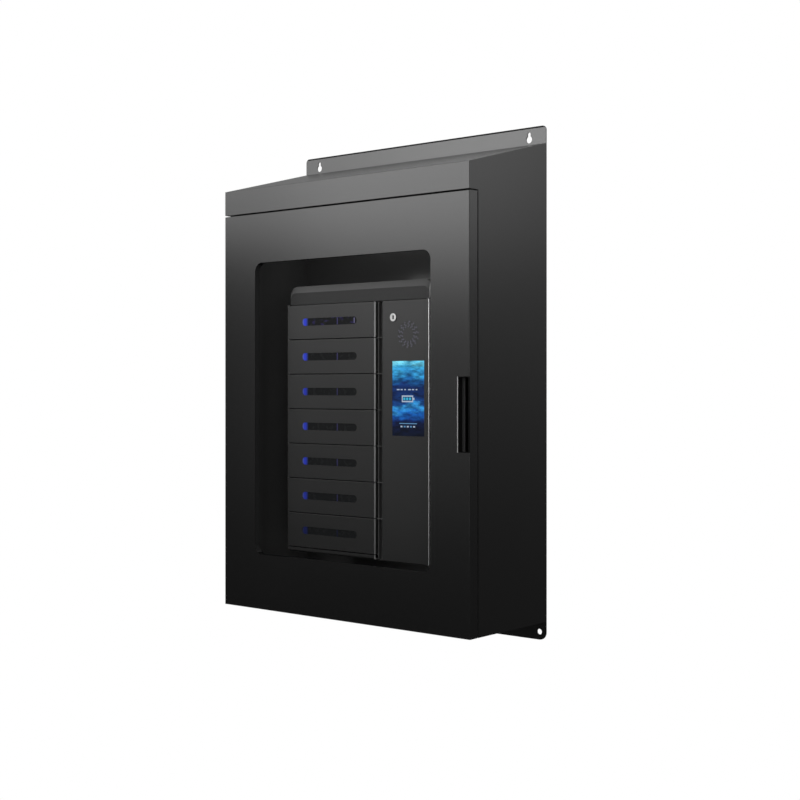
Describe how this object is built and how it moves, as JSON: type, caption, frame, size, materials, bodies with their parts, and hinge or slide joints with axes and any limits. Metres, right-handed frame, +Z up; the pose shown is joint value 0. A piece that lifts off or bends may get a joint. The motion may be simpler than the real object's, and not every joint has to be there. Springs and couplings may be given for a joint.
{
  "type": "cell phone locker box",
  "caption": "Wall cabinet with a framed front door over a column of phone charging lockers, each with its own latched door, beside a touch screen service door.",
  "frame": {"origin": "centre of the back plate's wall face", "axes": "+X to the right seen from the front, +Z up, the front door faces -Y"},
  "size_m": [0.6782, 0.2647, 1.0592],
  "materials": {
    "cabinet_black": "satin black powder coat on sheet steel",
    "locker_black": "fine satin black powder coat",
    "smoked_window": "smoked acrylic with a blue light guide at its left end",
    "rubber": "moulded black rubber",
    "zinc_steel": "zinc plated steel",
    "black_plastic": "moulded black plastic",
    "bright_grip": "satin aluminium strip",
    "screen_glass": "cover glass over a lit display",
    "lock_metal": "satin nickel plate",
    "circuit_board": "green solder mask",
    "supply_case": "plain aluminium case"
  },
  "bodies": {
    "cabinet": {"back_plate": "cabinet_black", "left_side_panel": "cabinet_black", "right_side_panel": "cabinet_black", "top_hood": "cabinet_black", "bottom_panel": "cabinet_black", "cable_grommet": "rubber", "door_frame": "cabinet_black", "catch_magnets": "black_plastic", "door_bumpers": "rubber", "front_hinge_brackets": "zinc_steel", "front_hinge_pins": "zinc_steel", "locker_rails": "zinc_steel", "locker_back": "locker_black", "locker_screws": "zinc_steel", "locker_case": "locker_black", "locker_cap": "locker_black", "locker_base": "locker_black", "bay_shelves": "locker_black", "centre_wall": "locker_black", "pivot_pins": "zinc_steel", "latch_units": "black_plastic", "charging_modules": "black_plastic", "control_board": "circuit_board", "power_supply": "supply_case", "power_inlet": "black_plastic"},
    "front_door": {"front_door": "cabinet_black", "pull_pocket": "black_plastic", "pull_grip": "bright_grip", "front_hinge_leaves": "zinc_steel"},
    "service_door": {"service_door": "locker_black", "touch_glass": "screen_glass", "display_module": "black_plastic", "speaker": "black_plastic", "lock_barrel": "lock_metal", "lock_nut": "zinc_steel"},
    "lock_cylinder": {"lock_plug": "lock_metal", "lock_cam": "zinc_steel"},
    "bay_door_1": {"bay_door_1": "locker_black", "bay_window_1": "smoked_window"},
    "bay_door_2": {"bay_door_2": "locker_black", "bay_window_2": "smoked_window"},
    "bay_door_3": {"bay_door_3": "locker_black", "bay_window_3": "smoked_window"},
    "bay_door_4": {"bay_door_4": "locker_black", "bay_window_4": "smoked_window"},
    "bay_door_5": {"bay_door_5": "locker_black", "bay_window_5": "smoked_window"},
    "bay_door_6": {"bay_door_6": "locker_black", "bay_window_6": "smoked_window"},
    "bay_door_7": {"bay_door_7": "locker_black", "bay_window_7": "smoked_window"},
    "bolt_1": {"latch_bolt_1": "zinc_steel"},
    "bolt_2": {"latch_bolt_2": "zinc_steel"},
    "bolt_3": {"latch_bolt_3": "zinc_steel"},
    "bolt_4": {"latch_bolt_4": "zinc_steel"},
    "bolt_5": {"latch_bolt_5": "zinc_steel"},
    "bolt_6": {"latch_bolt_6": "zinc_steel"},
    "bolt_7": {"latch_bolt_7": "zinc_steel"}
  },
  "joints": [
    {"name": "front_door_hinge", "type": "hinge", "parent": "cabinet", "child": "front_door", "pos_m": [-0.3326, -0.252, 0], "axis": [0, 0, -1], "range_deg": [0, 95]},
    {"name": "service_door_hinge", "type": "hinge", "parent": "cabinet", "child": "service_door", "pos_m": [0.1955, -0.2094, 0], "axis": [0, 0, 1], "range_deg": [0, 90]},
    {"name": "lock_turn", "type": "hinge", "parent": "service_door", "child": "lock_cylinder", "pos_m": [0.1059, -0.196, 0.134], "axis": [0, 1, 0], "range_deg": [0, 90]},
    {"name": "bay_door_1_hinge", "type": "hinge", "parent": "cabinet", "child": "bay_door_1", "pos_m": [-0.1955, -0.2094, 0.1314], "axis": [0, 0, -1], "range_deg": [0, 90]},
    {"name": "bay_door_2_hinge", "type": "hinge", "parent": "cabinet", "child": "bay_door_2", "pos_m": [-0.1955, -0.2094, 0.0564], "axis": [0, 0, -1], "range_deg": [0, 90]},
    {"name": "bay_door_3_hinge", "type": "hinge", "parent": "cabinet", "child": "bay_door_3", "pos_m": [-0.1955, -0.2094, -0.0186], "axis": [0, 0, -1], "range_deg": [0, 90]},
    {"name": "bay_door_4_hinge", "type": "hinge", "parent": "cabinet", "child": "bay_door_4", "pos_m": [-0.1955, -0.2094, -0.0936], "axis": [0, 0, -1], "range_deg": [0, 90]},
    {"name": "bay_door_5_hinge", "type": "hinge", "parent": "cabinet", "child": "bay_door_5", "pos_m": [-0.1955, -0.2094, -0.1686], "axis": [0, 0, -1], "range_deg": [0, 90]},
    {"name": "bay_door_6_hinge", "type": "hinge", "parent": "cabinet", "child": "bay_door_6", "pos_m": [-0.1955, -0.2094, -0.2436], "axis": [0, 0, -1], "range_deg": [0, 90]},
    {"name": "bay_door_7_hinge", "type": "hinge", "parent": "cabinet", "child": "bay_door_7", "pos_m": [-0.1955, -0.2094, -0.3186], "axis": [0, 0, -1], "range_deg": [0, 90]},
    {"name": "bolt_1_slide", "type": "slide", "parent": "cabinet", "child": "bolt_1", "axis": [-1, 0, 0], "range_m": [0, 0.008]},
    {"name": "bolt_2_slide", "type": "slide", "parent": "cabinet", "child": "bolt_2", "axis": [-1, 0, 0], "range_m": [0, 0.008]},
    {"name": "bolt_3_slide", "type": "slide", "parent": "cabinet", "child": "bolt_3", "axis": [-1, 0, 0], "range_m": [0, 0.008]},
    {"name": "bolt_4_slide", "type": "slide", "parent": "cabinet", "child": "bolt_4", "axis": [-1, 0, 0], "range_m": [0, 0.008]},
    {"name": "bolt_5_slide", "type": "slide", "parent": "cabinet", "child": "bolt_5", "axis": [-1, 0, 0], "range_m": [0, 0.008]},
    {"name": "bolt_6_slide", "type": "slide", "parent": "cabinet", "child": "bolt_6", "axis": [-1, 0, 0], "range_m": [0, 0.008]},
    {"name": "bolt_7_slide", "type": "slide", "parent": "cabinet", "child": "bolt_7", "axis": [-1, 0, 0], "range_m": [0, 0.008]}
  ]
}
